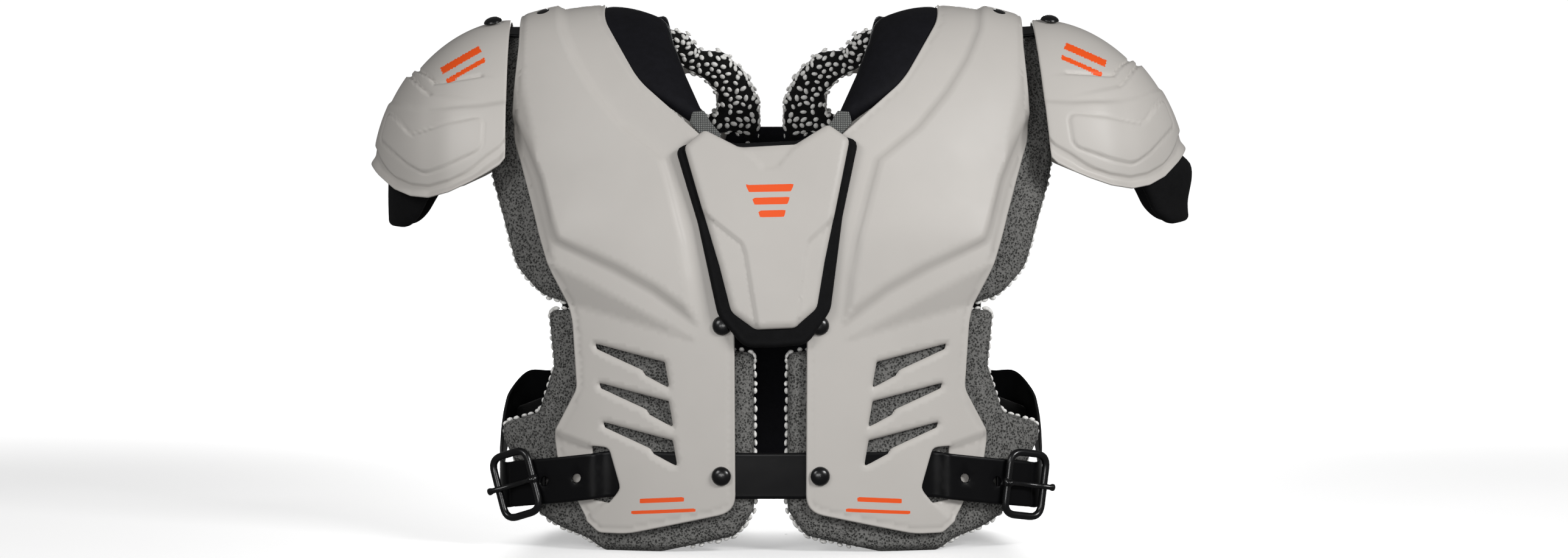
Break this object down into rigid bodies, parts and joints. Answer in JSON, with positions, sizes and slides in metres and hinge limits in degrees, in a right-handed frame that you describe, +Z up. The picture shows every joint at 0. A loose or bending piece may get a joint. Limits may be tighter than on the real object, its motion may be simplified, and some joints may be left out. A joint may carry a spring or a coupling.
{
  "type": "football shoulder pad",
  "caption": "Moulded plastic shoulder and chest armour with fabric-covered foam pads, hinged shoulder caps, a breastbone plate and buckled waist belts.",
  "frame": {"origin": "on the surface that the rib pads' lower edges stand on, under the middle of the whole object", "axes": "+Z up, -Y the way the wearer faces, +X the wearer's left"},
  "size_m": [0.5864, 0.2654, 0.3808],
  "materials": {
    "moulded_plastic": "satin, fine grain",
    "pad_fabric": "heather knit over foam",
    "black_fabric": "smooth matt cloth over foam",
    "bead_foam": "white foam beads under black mesh",
    "grey_webbing": "woven tape",
    "belt_vinyl": "semi-gloss coated webbing",
    "black_metal": "black enamel"
  },
  "bodies": {
    "root": {"body_arch_left": "moulded_plastic", "body_arch_right": "moulded_plastic", "shoulder_cap_left": "moulded_plastic", "shoulder_cap_right": "moulded_plastic", "sternum_plate": "moulded_plastic", "body_pad_left": "pad_fabric", "body_pad_right": "pad_fabric", "rib_pad_front_left": "pad_fabric", "rib_pad_front_right": "pad_fabric", "rib_pad_back_left": "pad_fabric", "rib_pad_back_right": "pad_fabric", "neck_pad_left": "black_fabric", "neck_pad_right": "black_fabric", "arm_flap_left": "black_fabric", "arm_flap_right": "black_fabric", "sternum_pad": "black_fabric", "spine_pad": "black_fabric", "collar_pad_left": "bead_foam", "collar_pad_right": "bead_foam", "neck_tab_left": "grey_webbing", "neck_tab_right": "grey_webbing", "front_belt": "belt_vinyl", "rear_belt": "belt_vinyl", "cap_strap_left": "belt_vinyl", "cap_strap_right": "belt_vinyl", "buckle_left": "black_metal", "buckle_right": "black_metal", "buckle_tongue_left": "black_metal", "buckle_tongue_right": "black_metal", "belt_rivet_left": "black_metal", "belt_rivet_right": "black_metal", "sternum_rivet_left": "black_metal", "sternum_rivet_right": "black_metal", "back_rivet_left": "black_metal", "back_rivet_right": "black_metal", "shoulder_rivet_left": "black_metal", "shoulder_rivet_right": "black_metal", "cap_rivet_left": "black_metal", "cap_rivet_right": "black_metal"}
  },
  "joints": []
}
